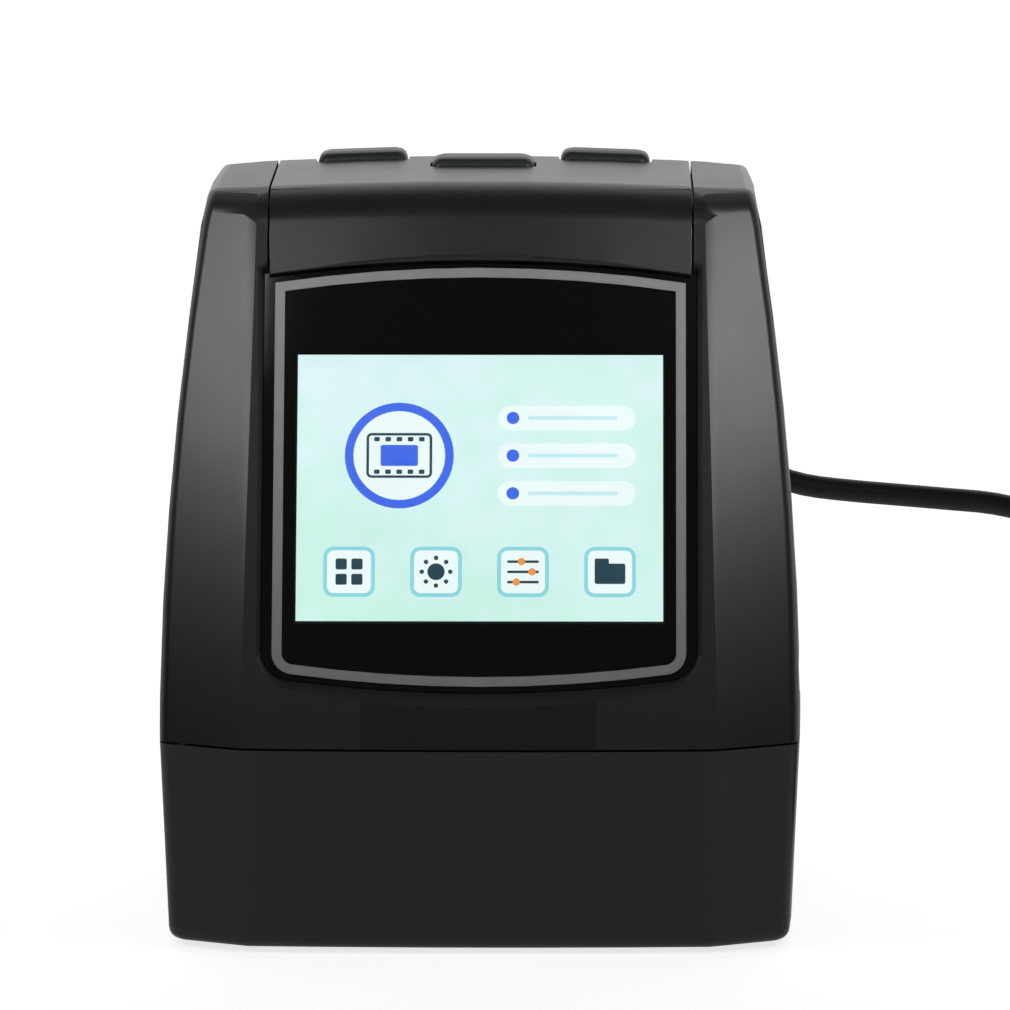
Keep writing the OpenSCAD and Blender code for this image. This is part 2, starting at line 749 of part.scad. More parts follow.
// The coil: in along the floor, up a layer in the half turn where it reverses, and out again
function coil_point(turn, r, z) =
    [coil_at[0] - r * cos(turn), coil_at[1] - r * sin(turn), z];
coil_in_r = coil_r - coil_pitch * coil_turns;
coil_path = concat(
    [run_points[len(run_points) - 1]],
    [for (i = [0:coil_turns * coil_steps]) let (t = i / coil_steps)
        coil_point(360 * t, coil_r - coil_pitch * t, coil_low)],
    [for (i = [1:coil_steps / 2 - 1]) let (t = i / coil_steps, rise = (1 - cos(360 * t)) / 2)
        coil_point(360 * (coil_turns + t), coil_in_r - coil_pitch * t * (1 - 2 * t),
            coil_low + coil_pitch * rise)],
    [for (i = [0:coil_turns * coil_steps]) let (t = i / coil_steps)
        coil_point(360 * (coil_turns + t + 0.5), coil_in_r + coil_pitch * t, coil_high)],
    tail_points);

function least_gap(path) = min([for (i = [0:len(path) - 1])
    for (j = [i + coil_steps / 2:len(path) - 1]) norm(path[i] - path[j])]) - cable_d;

module cable_run() color([0.10, 0.10, 0.11]) {
    echo(run_length = path_length(run_points));
    tube(run_points, cable_d / 2, 8);
}

module cable_coil() color([0.10, 0.10, 0.11]) {
    echo(coil_length = path_length(coil_path), coil_gap = least_gap(coil_path));
    tube(coil_path, cable_d / 2, 6);
}

module cable_tie() color([0.05, 0.05, 0.05]) {
    inner = [12.2, 7.9 + coil_pitch - 4];
    translate([coil_at[0], coil_at[1] + 19, tie_t + inner[1] / 2]) rotate([90, 0, 90])
        linear_extrude(4, center = true) difference() {
            polygon(rounded_rect(inner[0] + 2 * tie_t, inner[1] + 2 * tie_t, 2));
            polygon(rounded_rect(inner[0], inner[1], 1.6));
        }
}

module plug_contact() color([0.72, 0.72, 0.72]) translate([usb_x, grip_y, plug_z])
    rotate([90, 0, 0]) plate(6.8, 3, 9, 0.5);

module plug_grip() color([0.09, 0.09, 0.09]) hull() {
    translate([usb_x, grip_y + 12, plug_z]) rotate([90, 0, 0]) plate(10.8, 8, 12, 1.6);
    translate([usb_x, relief_y, plug_z]) rotate([90, 0, 0]) plate(8.4, 6.6, 1, 1.6);
}

module strain_relief() color([0.09, 0.09, 0.09]) translate([usb_x, relief_y, plug_z])
    rotate([-90, 0, 0]) cylinder(r1 = 2.9, r2 = 2, h = run_points[0][1] - relief_y);

end_at = tail_points[len(tail_points) - 1];
module at_end(along) translate(end_at + [0, along, 0]) rotate([-90, 0, 0]) children();

module end_relief() color([0.09, 0.09, 0.09]) at_end(0) cylinder(r1 = 2, r2 = 2.9, h = 10);

module end_grip() color([0.09, 0.09, 0.09]) hull() {
    at_end(10) plate(10, 6.6, 1, 1.6);
    at_end(15) plate(15.4, 2 * end_at[2], 17, 1.6);
}

module end_contact() color([0.72, 0.72, 0.72]) difference() {
    at_end(32) plate(12, 4.5, 18.5, 0.4);
    difference() {
        at_end(34) plate(11.4, 3.9, 20, 0.3);
        at_end(33) translate([0, 0.9, 0]) plate(11.2, 1.9, 17, 0.2);
    }
}

base_shell();
rubber_feet();
light_board();
leds();
light_box();
diffuser();
film_stage();
film_guide();
optics_tower();
lens_barrel();
lens_elements();
lens_mount();
image_sensor();
sensor_board();
sensor_ribbon();
main_board();
main_chips();
usb_socket();
card_socket();
video_jack();
light_ribbon();
rear_shell();
front_shell();
top_panel();
window_lens();
window_border();
screen_gasket();
screen_frame();
screen_panel();
screen_board();
screen_ribbon();
key_board();
tact_switches();
plunger_left();
plunger_middle();
plunger_right();
button_left();
button_middle();
button_right();
base_screws();
guide_screws();
housing_screws();
plug_contact();
plug_grip();
strain_relief();
cable_run();
cable_coil();
cable_tie();
end_relief();
end_grip();
end_contact();
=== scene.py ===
# %% [markdown]
# # A film negative scanner
#
# The object is a black plastic tower, about as tall as a coffee mug. It has a leaning front with a
# glossy window, a lit screen behind that window, three buttons on top, and a round cable that
# leaves from behind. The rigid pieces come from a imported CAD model, which is loaded first and is
# never moved. What is made here is the looks: rounded edges, the printed window, the picture on
# the screen, the cable as one long curve, and the finish of every material.
#
# The model is in metres. The numbers below are mostly in millimetres, because a scanner is
# measured in them, and `MM` turns the one into the other.

# %% Load the CAD model as a fixed frame
import json
import math

import bmesh
import bpy
import numpy as np
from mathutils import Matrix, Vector

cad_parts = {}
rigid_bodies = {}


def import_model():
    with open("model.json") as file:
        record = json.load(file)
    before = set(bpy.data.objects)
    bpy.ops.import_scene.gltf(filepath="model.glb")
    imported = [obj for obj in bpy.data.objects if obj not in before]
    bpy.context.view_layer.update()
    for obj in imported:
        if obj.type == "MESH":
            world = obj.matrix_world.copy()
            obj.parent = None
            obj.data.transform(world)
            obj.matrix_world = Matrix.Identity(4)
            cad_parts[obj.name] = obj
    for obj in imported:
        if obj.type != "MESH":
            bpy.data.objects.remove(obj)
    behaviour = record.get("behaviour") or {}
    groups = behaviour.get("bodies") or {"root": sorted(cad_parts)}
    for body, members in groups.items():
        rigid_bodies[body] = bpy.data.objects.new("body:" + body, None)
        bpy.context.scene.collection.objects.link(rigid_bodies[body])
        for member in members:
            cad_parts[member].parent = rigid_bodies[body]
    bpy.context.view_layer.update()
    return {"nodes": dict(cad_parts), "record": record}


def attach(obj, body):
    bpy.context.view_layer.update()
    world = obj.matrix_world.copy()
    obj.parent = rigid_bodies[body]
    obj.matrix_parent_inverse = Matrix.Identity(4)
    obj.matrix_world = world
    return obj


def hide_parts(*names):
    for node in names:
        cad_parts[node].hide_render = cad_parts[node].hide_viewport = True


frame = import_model()
MM = 0.001
BODY = "scanner"

# %% [markdown]
# ## The camera
#
# A long lens far away keeps upright edges nearly parallel, as in a product photograph. A short
# lens close by would frame the object as well, but its front would loom and its sides would run
# together. The camera stands a little to the right of the middle and looks slightly down on the
# roof. Its place comes from lining up known corners, such as those of the screen, with the
# picture.

# %% Camera
CAMERA_AZIMUTH = math.radians(0.577)
CAMERA_ELEVATION = math.radians(8.0)
CAMERA_DISTANCE = 1.2
CAMERA_TARGET = Vector((3.108, 0.0, 54.175)) * MM
SENSOR_MM, LENS_MM = 36, 313.3
camera_back = Vector((
    math.sin(CAMERA_AZIMUTH) * math.cos(CAMERA_ELEVATION),
    -math.cos(CAMERA_AZIMUTH) * math.cos(CAMERA_ELEVATION),
    math.sin(CAMERA_ELEVATION),
))
bpy.ops.object.camera_add(location=CAMERA_TARGET + camera_back * CAMERA_DISTANCE)
camera = bpy.context.object
camera.rotation_mode = "QUATERNION"
camera.rotation_quaternion = (-camera_back).to_track_quat("-Z", "Y")
camera.data.sensor_width = SENSOR_MM
camera.data.lens = LENS_MM
camera.data.clip_start = 0.05
camera.data.clip_end = 20
bpy.context.scene.camera = camera
print("camera at", [round(c, 3) for c in camera.location], "m, lens", LENS_MM, "mm")

# %% [markdown]
# ## The cable
#
# A cable is one length of something flexible. It could be a tube swept along a path by hand, but
# a curve with a round bevel does the same and keeps its thickness in every bend. It leaves
# the strain relief straight, sags to the right behind the body, runs out level as far as the
# picture shows, and then falls to the desk. The rest of its length is wound in a flat coil of two
# layers. The coil is a spiral in, half a turn in which it climbs a layer, and a spiral out.
# Its turns lie a little more than one thickness apart.

# %% The cable's route, in mm
CABLE_D = 3.3
COIL_AT = (114, 12)
COIL_R = 26
COIL_PITCH = 3.8
COIL_TURNS = 3
COIL_LOW = 2.15
run_points = [
    (24, 69.4, 53.95), (24, 75.2, 53.9), (25.2, 80.4, 53.2), (28.6, 84.5, 51.6),
    (33.8, 87, 49.3), (39.8, 87.9, 46.9), (46, 88, 44.9), (53, 88, 44), (60, 88, 43.4),
    (67, 88, 42.8), (74, 88, 42.1), (80.4, 87.4, 40.4), (85.8, 85.6, 36.8),
    (89.8, 82.6, 31.8), (92.2, 78.4, 26), (93.3, 73.4, 20), (93.4, 67.6, 14.4),
    (92.9, 61.4, 9.7), (92, 54.6, 6.2), (90.9, 47.4, 4), (89.8, 39.8, 2.8),
    (88.8, 32, 2.25), (88.2, 24.4, 2.15), (88, 19.5, 2.15),
]
tail_points = [(140, 18, 5.9), (140, 24, 5.5), (140, 30, 4.8), (140, 36, 4.3), (140, 41.5, 4.2)]


def coil_point(turns, radius, height):
    """A point of the coil, after so many turns from its left side."""
    angle = 2 * math.pi * turns
    return (
        COIL_AT[0] - radius * math.cos(angle),
        COIL_AT[1] - radius * math.sin(angle),
        height,
    )


def coil_points(steps=24):
    """Spiral in on the desk, climb a layer in half a turn, and spiral out above."""
    inner = COIL_R - COIL_PITCH * COIL_TURNS
    points = []
    for i in range(COIL_TURNS * steps + 1):
        t = i / steps
        points.append(coil_point(t, COIL_R - COIL_PITCH * t, COIL_LOW))
    for i in range(1, steps // 2):
        t = i / steps
        rise = (1 - math.cos(2 * math.pi * t)) / 2
        radius = inner - COIL_PITCH * t * (1 - 2 * t)
        points.append(coil_point(COIL_TURNS + t, radius, COIL_LOW + COIL_PITCH * rise))
    for i in range(COIL_TURNS * steps + 1):
        t = i / steps
        points.append(coil_point(COIL_TURNS + t + 0.5, inner + COIL_PITCH * t,
                                 COIL_LOW + COIL_PITCH))
    return points


# %% [markdown]
# Straight lines between those points would show as corners, above all in the fall to the desk.
# So two more points are put on each stretch, on a curve that passes through the given points and
# leaves each one in the direction in which it arrived. That direction is the line between the
# point's two neighbours.

# %% Round off the route
def smoothed(points, steps=3):
    """More points between the given ones, on one curve without corners that passes them all."""
    knots = [Vector(point) for point in points]
    knots = [2 * knots[0] - knots[1]] + knots + [2 * knots[-1] - knots[-2]]
    finer = []
    for a, b, c, d in zip(knots, knots[1:], knots[2:], knots[3:]):
        for i in range(steps):
            t = i / steps
            finer.append((2 * b + (c - a) * t + (2 * a - 5 * b + 4 * c - d) * t ** 2
                          + (3 * b - 3 * c + d - a) * t ** 3) / 2)
    return [tuple(point) for point in finer] + [tuple(knots[-2])]


cable_points = smoothed(run_points + coil_points() + tail_points)
print("cable points:", len(cable_points))

# %% [markdown]
# The route becomes a curve object: a row of points, each with the cable's radius. The bevel turns
# it into a round tube with closed ends. The curve stands in for two solids of the CAD model, the
# free run and the wound coil.

# %% Make the cable
cable_curve = bpy.data.curves.new("cable", "CURVE")
cable_curve.dimensions = "3D"
cable_line = cable_curve.splines.new("POLY")
cable_line.points.add(len(cable_points) - 1)
for point, at in zip(cable_line.points, cable_points):
    point.co = (at[0] * MM, at[1] * MM, at[2] * MM, 1)
    point.radius = CABLE_D / 2 * MM
cable_curve.bevel_depth = 1  # the thickness itself is each point's radius
cable_curve.bevel_resolution = 6
cable_curve.use_fill_caps = True
cable_line.use_smooth = True
cable = bpy.data.objects.new("cable", cable_curve)
bpy.context.collection.objects.link(cable)

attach(cable, BODY)
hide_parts("cable_run", "cable_coil")

# %% [markdown]
# ## Materials
#
# Moulded plastic is never perfectly smooth: the mould was spark-eroded, so the surface has a fine
# even grain, and handling makes some patches a little shinier. The pigment isn't mixed perfectly
# either, so the colour drifts slightly. Plated sheet metal has drawn marks along one direction.
# Many finishes use the same effects, so each effect is one shader group that is built once.

# %% Shader groups: how one is started
def new_group(name, inputs, outputs):
    """A shader group with named inputs (name, default) and named outputs (name, kind)."""
    group = bpy.data.node_groups.new(name, "ShaderNodeTree")
    for label, default in inputs:
        kind = "NodeSocketColor" if isinstance(default, tuple) else "NodeSocketFloat"
        socket = group.interface.new_socket(label, in_out="INPUT", socket_type=kind)
        socket.default_value = default
    for label, kind in outputs:
        group.interface.new_socket(label, in_out="OUTPUT", socket_type=kind)
    return group, group.nodes.new("NodeGroupInput"), group.nodes.new("NodeGroupOutput")


def reckon(group, operation, *values):
    """A sum in a node tree: each value is a number or the output of another node."""
    node = group.nodes.new("ShaderNodeMath")
    node.operation = operation
    for socket, value in zip(node.inputs, values):
        if isinstance(value, (int, float)):
            socket.default_value = value
        else:
            group.links.new(value, socket)
    return node.outputs[0]


def noise(group, place, scale, detail):
    """A noise pattern, as a value round 0.5."""
    pattern = group.nodes.new("ShaderNodeTexNoise")
    pattern.inputs["Detail"].default_value = detail
    group.links.new(place, pattern.inputs["Vector"])
    if isinstance(scale, (int, float)):
        pattern.inputs["Scale"].default_value = scale
    else:
        group.links.new(scale, pattern.inputs["Scale"])
    return pattern.outputs["Fac"]


# %% [markdown]
# The grain of the mould is only about a hundredth of a millimetre deep, far too fine to model, so
# a small noise feeds a Bump node, with its size and depth in real millimetres. A slow noise moves
# the shine a little, and another one the colour.

# %% Shader group: moulded plastic
PATCH_SCALE, DRIFT_SCALE = 70, 240
COLOUR_DRIFT = 0.3


def build_grain_group():
    """Even grain as a normal, slow patches of shine, and a slight drift of colour."""
    group, given, result = new_group(
        "moulded grain",
        [("Colour", (0.5, 0.5, 0.5, 1.0)), ("Grain Size mm", 0.25), ("Grain Depth mm", 0.01),
         ("Roughness", 0.5), ("Patchiness", 0.06)],
        [("Colour", "NodeSocketColor"), ("Roughness", "NodeSocketFloat"),
         ("Normal", "NodeSocketVector")],
    )
    place = group.nodes.new("ShaderNodeTexCoord").outputs["Object"]
    grain = noise(group, place, reckon(group, "DIVIDE", 1 / MM, given.outputs["Grain Size mm"]), 2)
    bump = group.nodes.new("ShaderNodeBump")
    bump.inputs["Strength"].default_value = 1
    depth = reckon(group, "MULTIPLY", given.outputs["Grain Depth mm"], MM)
    group.links.new(depth, bump.inputs["Distance"])
    group.links.new(grain, bump.inputs["Height"])
    group.links.new(bump.outputs["Normal"], result.inputs["Normal"])
    patches = reckon(group, "SUBTRACT", noise(group, place, PATCH_SCALE, 3), 0.5)
    shine = reckon(group, "MULTIPLY_ADD", patches, given.outputs["Patchiness"],
                   given.outputs["Roughness"])
    group.links.new(shine, result.inputs["Roughness"])
    drift = group.nodes.new("ShaderNodeHueSaturation")
    group.links.new(given.outputs["Colour"], drift.inputs["Color"])
    group.links.new(reckon(group, "MULTIPLY_ADD", noise(group, place, DRIFT_SCALE, 4),
                           COLOUR_DRIFT, 1 - COLOUR_DRIFT / 2), drift.inputs["Value"])
    group.links.new(drift.outputs["Color"], result.inputs["Colour"])
    return group


GRAIN = build_grain_group()
print(GRAIN.name, "has", len(GRAIN.nodes), "nodes")


# %% [markdown]
# Drawn marks are a noise that is stretched: dense across the sheet and slow along it. A touch of
# tarnish makes some places darker and duller at once, because the same noise drives both.

# %% Shader group: drawn sheet metal
MARKS_PER_METRE = (9000, 500, 9000)
MARK_STRENGTH = 0.6
TARNISH_SCALE, TARNISH_DULLS, TARNISH_DARKENS = 150, 0.1, 0.12


def build_drawn_group():
    """Fine marks along the piece's Y, where the sheet was drawn through the tool."""
    group, given, result = new_group(
        "drawn marks",
        [("Colour", (0.6, 0.6, 0.6, 1.0)), ("Roughness", 0.3), ("Mark Depth mm", 0.004)],
        [("Colour", "NodeSocketColor"), ("Roughness", "NodeSocketFloat"),
         ("Normal", "NodeSocketVector")],
    )
    place = group.nodes.new("ShaderNodeTexCoord").outputs["Object"]
    stretch = group.nodes.new("ShaderNodeVectorMath")
    stretch.operation = "MULTIPLY"
    stretch.inputs[1].default_value = MARKS_PER_METRE
    group.links.new(place, stretch.inputs[0])
    marks = noise(group, stretch.outputs["Vector"], 1, 2)
    bump = group.nodes.new("ShaderNodeBump")
    bump.inputs["Strength"].default_value = MARK_STRENGTH
    depth = reckon(group, "MULTIPLY", given.outputs["Mark Depth mm"], MM)
    group.links.new(depth, bump.inputs["Distance"])
    group.links.new(marks, bump.inputs["Height"])
    group.links.new(bump.outputs["Normal"], result.inputs["Normal"])
    tarnish = noise(group, place, TARNISH_SCALE, 2)
    cleanest = reckon(group, "SUBTRACT", given.outputs["Roughness"], TARNISH_DULLS / 2)
    group.links.new(reckon(group, "MULTIPLY_ADD", tarnish, TARNISH_DULLS, cleanest),
                    result.inputs["Roughness"])
    drift = group.nodes.new("ShaderNodeHueSaturation")
    group.links.new(given.outputs["Colour"], drift.inputs["Color"])
    group.links.new(reckon(group, "MULTIPLY_ADD", tarnish, TARNISH_DARKENS,
                           1 - TARNISH_DARKENS / 2), drift.inputs["Value"])
    group.links.new(drift.outputs["Color"], result.inputs["Colour"])
    return group


DRAWN = build_drawn_group()
print(DRAWN.name, "has", len(DRAWN.nodes), "nodes")

# %% [markdown]
# A finish sets its own numbers on the group and leaves the rest to the Principled shader. What is
# the same all over, such as being metal or the glass's index, is set on the shader itself. The
# glass and the clear acrylic have no colour to vary, so only their shine does: they show faint
# marks of wiping.

# %% Finishes from those groups
WIPE_SCALE, WIPE_DULLS = 120, 0.02


def finish_from(name, group, colour, **settings):
    """A material whose colour, roughness and normal come from one shader group."""
    material = bpy.data.materials.new(name)
    material.use_nodes = True
    nodes, links = material.node_tree.nodes, material.node_tree.links
    shader = nodes["Principled BSDF"]
    effect = nodes.new("ShaderNodeGroup")
    effect.node_tree = group
    effect.inputs["Colour"].default_value = (*colour, 1)
    for label, value in settings.items():
        effect.inputs[label.replace("_", " ")].default_value = value
    links.new(effect.outputs["Colour"], shader.inputs["Base Color"])
    links.new(effect.outputs["Roughness"], shader.inputs["Roughness"])
    links.new(effect.outputs["Normal"], shader.inputs["Normal"])
    return material


def plastic(name, colour, roughness, grain_mm=0.25, depth_mm=0.01, patchiness=0.08):
    """A moulded plastic with its own colour, shine and grain."""
    return finish_from(name, GRAIN, colour, Roughness=roughness, Grain_Size_mm=grain_mm,
                       Grain_Depth_mm=depth_mm, Patchiness=patchiness)


def metal(name, colour, roughness, depth_mm=0.0008):
    """Plated sheet or turned metal, with faint drawn marks."""
    material = finish_from(name, DRAWN, colour, Roughness=roughness, Mark_Depth_mm=depth_mm)
    material.node_tree.nodes["Principled BSDF"].inputs["Metallic"].default_value = 1
    return material


def clear(name, colour, roughness, ior):
    """Glass or clear acrylic, with faint wipe marks in its shine."""
    material = bpy.data.materials.new(name)
    material.use_nodes = True
    tree = material.node_tree
    shader = tree.nodes["Principled BSDF"]
    shader.inputs["Base Color"].default_value = (*colour, 1)
    shader.inputs["IOR"].default_value = ior
    shader.inputs["Transmission Weight"].default_value = 1
    place = tree.nodes.new("ShaderNodeTexCoord").outputs["Object"]
    wiped = reckon(tree, "MULTIPLY_ADD", noise(tree, place, WIPE_SCALE, 3), WIPE_DULLS, roughness)
    tree.links.new(wiped, shader.inputs["Roughness"])
    return material


# %% [markdown]
# The outside is almost black, and what tells its pieces apart is shine. The shells are satin, the
# roof's strip a touch glossier, the buttons a greyer, duller rubber-like plastic, and the window
# is polished. Worn edges are a little shinier than the faces beside them. Inside there are the
# usual green boards, white light box and orange ribbons.

# %% The finishes: colour, roughness, and for plastics the grain's size and depth in mm
FINISHES = {
    "shell_black": plastic("shell_black", (0.0105, 0.0105, 0.0108), 0.36, 0.22, 0.008),
    "shell_edge": plastic("shell_edge", (0.012, 0.012, 0.0124), 0.31, 0.22, 0.004),
    "panel_black": plastic("panel_black", (0.0105, 0.0105, 0.0112), 0.34, 0.22, 0.008),
    "button_grey": plastic("button_grey", (0.022, 0.029, 0.030), 0.42, 0.3, 0.004),
    "window_black": plastic("window_black", (0.002, 0.002, 0.0022), 0.06, 2.0, 0.0005, 0.02),
    "border_grey": plastic("border_grey", (0.33, 0.335, 0.35), 0.35, 0.15, 0.002),
    "screen": plastic("screen", (0.006, 0.007, 0.008), 0.12, 0.5, 0.001, 0.03),
    "rubber": plastic("rubber", (0.02, 0.02, 0.02), 0.75, 0.4, 0.02),
    "board_green": plastic("board_green", (0.02, 0.10, 0.04), 0.35, 0.8, 0.01),
    "led_white": plastic("led_white", (0.85, 0.80, 0.45), 0.25, 0.5, 0.002),
    "white_plastic": plastic("white_plastic", (0.82, 0.82, 0.80), 0.5, 0.4, 0.01),
    "inner_black": plastic("inner_black", (0.010, 0.010, 0.010), 0.6, 0.3, 0.02),
    "chip_black": plastic("chip_black", (0.02, 0.02, 0.022), 0.55, 0.2, 0.02),
    "ribbon": plastic("ribbon", (0.50, 0.22, 0.04), 0.3, 1.0, 0.01),
    "plunger_red": plastic("plunger_red", (0.60, 0.10, 0.04), 0.4, 0.3, 0.005),
    "cable_black": plastic("cable_black", (0.010, 0.010, 0.0105), 0.5, 0.5, 0.010),
    "tinned_steel": metal("tinned_steel", (0.62, 0.62, 0.61), 0.28),
    "screw_steel": metal("screw_steel", (0.52, 0.52, 0.50), 0.32),
    "optical_glass": clear("optical_glass", (0.96, 0.98, 1.0), 0.0, 1.52),
    "clear_acrylic": clear("clear_acrylic", (1.0, 1.0, 1.0), 0.0, 1.49),
}
print("finishes:", len(FINISHES))


def coat_piece(piece, *slots):
    """Gives a piece its finishes: the first one all over, the others where faces ask for them."""
    piece.data.materials.clear()
    for slot in slots:
        piece.data.materials.append(FINISHES[slot])


cable.data.materials.append(FINISHES["cable_black"])
for part in frame["record"]["subparts"]:
    node = frame["nodes"][part["node"]]
    for socket in node.material_slots:
        socket.link = "OBJECT"
        socket.material = FINISHES[part["material_slot"]]

# %% [markdown]
# ## Rounded edges
#
# No moulded edge is a true corner. A bevel in the shader would catch the light too, but it leaves
# the outline sharp and is lost on export, so these edges are real geometry. The CAD shells are
# made of plain facets: each is copied, its triangles are joined into clean faces, and its edges
# are rounded with a bevel. The creases of the outer form are wide and soft, and the rims at the
# gaps are narrow. The outer form is convex, so a face belongs to it when nothing of the body lies
# beyond the face's plane.

# %% Which faces belong to the outer form
SHELLS = ("base_shell", "rear_shell", "front_shell", "top_panel")
body_corners = np.array([
    vertex.co[:] for node in SHELLS for vertex in frame["nodes"][node].data.vertices
])
body_corners = np.unique(body_corners.round(6), axis=0)
print("corners of the body:", len(body_corners))


def depth_below_skin(face):
    """How far a face's plane lies inside the body's outermost point that way, in mm."""
    normal = np.array(face.normal)
    return ((body_corners @ normal).max() - np.dot(normal, face.verts[0].co)) / MM


# %% Copy a CAD piece
SAME_POINT = 0.00001
FLAT = math.radians(0.2)


def select_only(piece):
    """Makes one piece the only selected one, in object mode."""
    if bpy.context.object and bpy.context.object.mode != "OBJECT":
        bpy.ops.object.mode_set(mode="OBJECT")
    bpy.ops.object.select_all(action="DESELECT")
    piece.select_set(True)
    bpy.context.view_layer.objects.active = piece


def copy_of(node, name):
    """A copy of a CAD piece with its triangles joined into clean faces."""
    piece = bpy.data.objects.new(name, frame["nodes"][node].data.copy())
    bpy.context.collection.objects.link(piece)
    select_only(piece)
    bpy.ops.object.mode_set(mode="EDIT")
    bpy.ops.mesh.select_all(action="SELECT")
    bpy.ops.mesh.remove_doubles(threshold=SAME_POINT)
    bpy.ops.mesh.dissolve_limited(angle_limit=FLAT)
    bpy.ops.mesh.normals_make_consistent(inside=False)
    bpy.ops.object.mode_set(mode="OBJECT")
    return piece


# %% [markdown]
# Two rules pick the edges. A crease lies between two outer faces that meet at more than a slight
# angle. A rim lies between an outer face and one that goes down into a gap. All creases get one
# width, because edges of different widths that meet almost in line throw spikes at their corner.
# Very short edges are drawn together first, or the bevel would run out of room on them.

# %% Which edges are rounded, and by how many mm
CREASE_ANGLE, RIM_ANGLE = math.radians(24), math.radians(50)
CREASE_ROUND, RIM_ROUND = 1.1, 0.16
CREASE_SEGMENTS, RIM_SEGMENTS = 4, 2
OUTER_DEPTH, GAP_DEPTH = 0.12, 0.7
SHORTEST_EDGE = 0.45


def crease_width(edge):
    """Creases between two outer faces. One width for all of them lets the corners close."""
    if len(edge.link_faces) != 2 or edge.calc_face_angle(0) < CREASE_ANGLE:
        return 0
    if max(depth_below_skin(face) for face in edge.link_faces) > OUTER_DEPTH:
        return 0
    return CREASE_ROUND


def rim_width(edge):
    """Rims where an outer face turns into a gap or an opening."""
    if edge.calc_face_angle(0) < RIM_ANGLE:
        return 0
    depths = sorted(depth_below_skin(face) for face in edge.link_faces)
    return RIM_ROUND if depths[0] < GAP_DEPTH < depths[1] else 0


# %% Round the edges that a rule picks
def close_short_edges(piece):
    """Draws together the ends of very short edges of the outer form, so that a bevel has room."""
    mesh = bmesh.new()
    mesh.from_mesh(piece.data)
    short = [
        edge for edge in mesh.edges
        if edge.calc_length() < SHORTEST_EDGE * MM and crease_width(edge) > 0
    ]
    bmesh.ops.collapse(mesh, edges=short, uvs=False)
    mesh.to_mesh(piece.data)
    mesh.free()
    return len(short)


def round_edges(piece, width_of, segments, slot=0):
    """Bevels each convex edge by the width in mm that width_of gives it."""
    mesh = bmesh.new()
    mesh.from_mesh(piece.data)
    widths = {
        edge.index: width_of(edge)
        for edge in mesh.edges
        if len(edge.link_faces) == 2 and edge.is_convex
    }
    widest = max(widths.values(), default=0)
    if widest == 0:
        mesh.free()
        return 0
    weights = mesh.edges.layers.float.new("bevel_weight_edge")
    for edge in mesh.edges:
        edge[weights] = widths.get(edge.index, 0) / widest
    mesh.to_mesh(piece.data)
    mesh.free()
    bevel = piece.modifiers.new("rounded edges", "BEVEL")
    bevel.limit_method = "WEIGHT"
    bevel.width = widest * MM
    bevel.segments = segments
    bevel.use_clamp_overlap = False
    bevel.material = slot
    select_only(piece)
    bpy.ops.object.modifier_apply(modifier=bevel.name)
    return sum(width > 0 for width in widths.values())


def smooth_shading(piece, angle=24):
    """Smooth shading across edges up to an angle in degrees, led by the larger faces."""
    select_only(piece)
    bpy.ops.object.shade_smooth_by_angle(angle=math.radians(angle))
    weighted = piece.modifiers.new("face weighted normals", "WEIGHTED_NORMAL")
    weighted.keep_sharp = True
    bpy.ops.object.modifier_apply(modifier=weighted.name)


# %% [markdown]
# ## A frame on the leaning front
#
# The window, its pocket and the picture on the screen all lie parallel to the leaning front.
# It is easier to measure them on that face: x runs across it, v up along it and w out of it, and
# zero is the middle of the screen. One function turns such a place into a point in space, and the
# other finds the place of a point. The middle of the screen lies 37 mm up the face from the
# front's foot, which is the parting line.

# %% Face frame: x across, v up the leaning front, w out of it
LEAN = math.radians(22)
FOOT_Y, FOOT_Z, UP_TO_SCREEN = -43, 27.5, 37
SCREEN_Y = FOOT_Y + UP_TO_SCREEN * math.sin(LEAN)
SCREEN_Z = FOOT_Z + UP_TO_SCREEN * math.cos(LEAN)
print("middle of the screen in mm:", 0, round(SCREEN_Y, 1), round(SCREEN_Z, 1))


def on_face(x, v, w):
    """A point of the leaning front, in metres, from mm measured on the face."""
    return Vector((
        x,
        SCREEN_Y + v * math.sin(LEAN) - w * math.cos(LEAN),
        SCREEN_Z + v * math.cos(LEAN) + w * math.sin(LEAN),
    )) * MM


def face_place(co):
    """The face frame's x, v, w in mm of a point in metres."""
    x, y, z = co / MM
    y, z = y - SCREEN_Y, z - SCREEN_Z
    return (
        x,
        y * math.sin(LEAN) + z * math.cos(LEAN),
        -y * math.cos(LEAN) + z * math.sin(LEAN),
    )


# %% [markdown]
# ## The shells
#
# The housing is four shells: the base, the front, the rear and the strip over the roof. Handling
# polishes their edges, so the faces that the bevel makes get a finish of their own. The window
# sits in a pocket of the front shell. No hand reaches its walls, so they stay dull. They are
# found by their place on the face frame, between the pocket's rim and its floor.

# %% The walls of the window's pocket
POCKET_HALF_X, POCKET_HALF_V = 31.5, 32.5
POCKET_FLOOR, POCKET_RIM = -6, -0.25


def darken_pocket(piece):
    """Gives the walls of the window's pocket a dull finish of their own."""
    piece.data.materials.append(FINISHES["inner_black"])
    dulled = 0
    for face in piece.data.polygons:
        x, v, w = face_place(face.center)
        in_pocket = abs(x) < POCKET_HALF_X and abs(v) < POCKET_HALF_V
        if in_pocket and POCKET_FLOOR < w < POCKET_RIM:
            face.material_index = len(piece.data.materials) - 1
            dulled += 1
    return dulled


# %% Shells
EDGE_SLOT = 1


